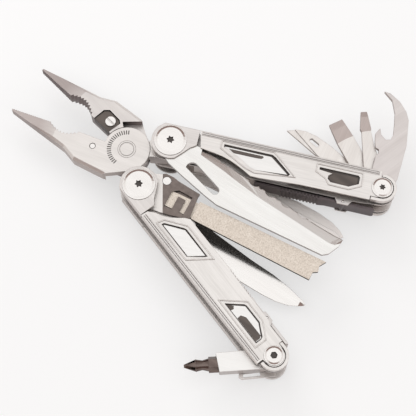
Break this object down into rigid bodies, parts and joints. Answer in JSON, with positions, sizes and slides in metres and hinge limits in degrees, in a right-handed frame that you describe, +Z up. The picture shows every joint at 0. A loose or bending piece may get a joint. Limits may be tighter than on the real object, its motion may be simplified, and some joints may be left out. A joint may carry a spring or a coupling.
{
  "type": "folding plier multi-tool",
  "caption": "Folding plier multi-tool lying fanned open, with hinged handles, knives, file, scissors, drivers, awl, can opener and a hexagon bit holder.",
  "frame": {"origin": "centre of the bounding box, on the plane that the rear pivot caps and tail screws rest on", "axes": "+X from the jaw tips towards the handle tails, +Y towards the handle with the drivers, +Z up out of the flat tool, along every hinge"},
  "size_m": [0.1748, 0.1634, 0.0224],
  "materials": {
    "brushed_steel": "sheet stainless steel with fine brushing along the handle",
    "jaw_steel": "satin cast stainless steel, brighter on the bevels",
    "blade_steel": "satin ground stainless steel with brighter edges",
    "polished_steel": "polished screw heads, caps and pins",
    "inner_steel": "darker oiled inner steel with a slight purple cast",
    "dark_coating": "dark grey-brown coated steel",
    "file_grit": "sandy abrasive grit coating",
    "bit_steel": "dark gunmetal bit steel with a low sheen"
  },
  "bodies": {
    "front_jaw": {"jaw_front": "jaw_steel", "wire_cutter_front": "dark_coating", "cutter_screw_front": "polished_steel", "plier_rivet": "brushed_steel"},
    "rear_jaw": {"jaw_rear": "jaw_steel", "wire_cutter_rear": "dark_coating", "cutter_screw_rear": "polished_steel"},
    "handle_a": {"handle_a_frame": "brushed_steel", "handle_a_front_scale": "brushed_steel", "handle_a_rear_scale": "brushed_steel", "pivot_post_a": "polished_steel", "tail_post_a": "polished_steel", "blade_lock_a": "brushed_steel", "lock_pin_a": "polished_steel", "pivot_cap_a_front": "polished_steel", "pivot_cap_a_rear": "polished_steel", "tail_screw_a_front": "polished_steel", "tail_screw_a_rear": "polished_steel", "tail_band_a_front": "brushed_steel", "tail_band_a_rear": "brushed_steel", "tail_spacer_a_front": "inner_steel", "tail_spacer_a_rear": "inner_steel", "pivot_washer_a_front": "inner_steel", "pivot_washer_a_rear": "inner_steel"},
    "handle_b": {"handle_b_frame": "brushed_steel", "handle_b_front_scale": "brushed_steel", "handle_b_rear_scale": "brushed_steel", "pivot_post_b": "polished_steel", "tail_post_b": "polished_steel", "blade_lock_b": "brushed_steel", "lock_pin_b": "polished_steel", "pivot_cap_b_front": "polished_steel", "pivot_cap_b_rear": "polished_steel", "tail_screw_b_front": "polished_steel", "tail_screw_b_rear": "polished_steel", "tail_band_b_front": "brushed_steel", "tail_band_b_rear": "brushed_steel", "tail_spacer_b_front": "inner_steel", "tail_spacer_b_rear": "inner_steel", "pivot_washer_b_front": "inner_steel", "pivot_washer_b_rear": "inner_steel"},
    "lock_lever_a": {"lock_lever_a": "inner_steel"},
    "lock_lever_b": {"lock_lever_b": "inner_steel"},
    "serrated_knife": {"serrated_knife": "blade_steel"},
    "scissors": {"scissors_fixed_blade": "blade_steel", "scissors_screw": "polished_steel"},
    "scissors_blade": {"scissors_moving_blade": "blade_steel"},
    "exchanger": {"file_exchanger": "dark_coating", "exchanger_stud": "polished_steel"},
    "file": {"file": "file_grit"},
    "plain_knife": {"plain_knife": "blade_steel"},
    "awl": {"awl": "blade_steel"},
    "large_driver": {"large_flat_driver": "blade_steel"},
    "medium_driver": {"medium_flat_driver": "blade_steel"},
    "can_opener": {"can_opener": "blade_steel"},
    "bit_holder": {"bit_holder": "brushed_steel"},
    "bit": {"phillips_bit": "bit_steel"},
    "lanyard_loop": {"lanyard_loop": "brushed_steel"}
  },
  "joints": [
    {"name": "jaw_squeeze", "type": "hinge", "parent": "front_jaw", "child": "rear_jaw", "pos_m": [-0.02961, -0.01054, 0.0112], "axis": [0, 0, 1], "range_deg": [-8, 23.2]},
    {"name": "handle_a_fold", "type": "hinge", "parent": "front_jaw", "child": "handle_a", "pos_m": [-0.01352, 0.00249, 0.0112], "axis": [0, 0, 1], "range_deg": [0, 134]},
    {"name": "handle_b_fold", "type": "hinge", "parent": "rear_jaw", "child": "handle_b", "pos_m": [-0.01352, -0.02357, 0.0112], "axis": [0, 0, -1], "range_deg": [0, 158]},
    {"name": "lock_a_press", "type": "hinge", "parent": "handle_a", "child": "lock_lever_a", "pos_m": [0.0686, 0.02228, 0.0112], "axis": [0, 0, -1], "range_deg": [0, 1], "stiffness_Nm_per_rad": 1.5},
    {"name": "lock_b_press", "type": "hinge", "parent": "handle_b", "child": "lock_lever_b", "pos_m": [0.0686, -0.04336, 0.0112], "axis": [0, 0, 1], "range_deg": [0, 1], "stiffness_Nm_per_rad": 1.5},
    {"name": "serrated_knife_fold", "type": "hinge", "parent": "handle_a", "child": "serrated_knife", "pos_m": [-0.01352, 0.00249, 0.0112], "axis": [0, 0, 1], "range_deg": [-34, 22]},
    {"name": "scissors_fold", "type": "hinge", "parent": "handle_a", "child": "scissors", "pos_m": [-0.01352, 0.00249, 0.0112], "axis": [0, 0, 1], "range_deg": [-44, 14]},
    {"name": "scissors_squeeze", "type": "hinge", "parent": "scissors", "child": "scissors_blade", "pos_m": [0.03224, 0.00714, 0.0112], "axis": [0, 0, 1], "range_deg": [-6, 0]},
    {"name": "exchanger_fold", "type": "hinge", "parent": "handle_b", "child": "exchanger", "pos_m": [-0.01352, -0.02357, 0.0112], "axis": [0, 0, -1], "range_deg": [-29, 23.5]},
    {"name": "file_release", "type": "slide", "parent": "exchanger", "child": "file", "axis": [-0.994, -0.1097, 0], "range_m": [-0.012, 0]},
    {"name": "plain_knife_fold", "type": "hinge", "parent": "handle_b", "child": "plain_knife", "pos_m": [-0.01352, -0.02357, 0.0112], "axis": [0, 0, -1], "range_deg": [-40, 16.5]},
    {"name": "awl_fold", "type": "hinge", "parent": "handle_a", "child": "awl", "pos_m": [0.08068, 0.03603, 0.0112], "axis": [0, 0, 1], "range_deg": [-160, 32]},
    {"name": "large_driver_fold", "type": "hinge", "parent": "handle_a", "child": "large_driver", "pos_m": [0.08068, 0.03603, 0.0112], "axis": [0, 0, 1], "range_deg": [-160, 52]},
    {"name": "medium_driver_fold", "type": "hinge", "parent": "handle_a", "child": "medium_driver", "pos_m": [0.08068, 0.03603, 0.0112], "axis": [0, 0, 1], "range_deg": [-160, 74]},
    {"name": "can_opener_fold", "type": "hinge", "parent": "handle_a", "child": "can_opener", "pos_m": [0.08068, 0.03603, 0.0112], "axis": [0, 0, 1], "range_deg": [-145, 87]},
    {"name": "bit_holder_fold", "type": "hinge", "parent": "handle_b", "child": "bit_holder", "pos_m": [0.08068, -0.05711, 0.0112], "axis": [0, 0, -1], "range_deg": [-160, 61.5]},
    {"name": "bit_release", "type": "slide", "parent": "bit_holder", "child": "bit", "axis": [0.8049, 0.5934, 0], "range_m": [-0.015, 0]},
    {"name": "lanyard_fold", "type": "hinge", "parent": "handle_b", "child": "lanyard_loop", "pos_m": [0.08068, -0.05711, 0.0112], "axis": [0, 0, -1], "range_deg": [-125, 50]}
  ]
}
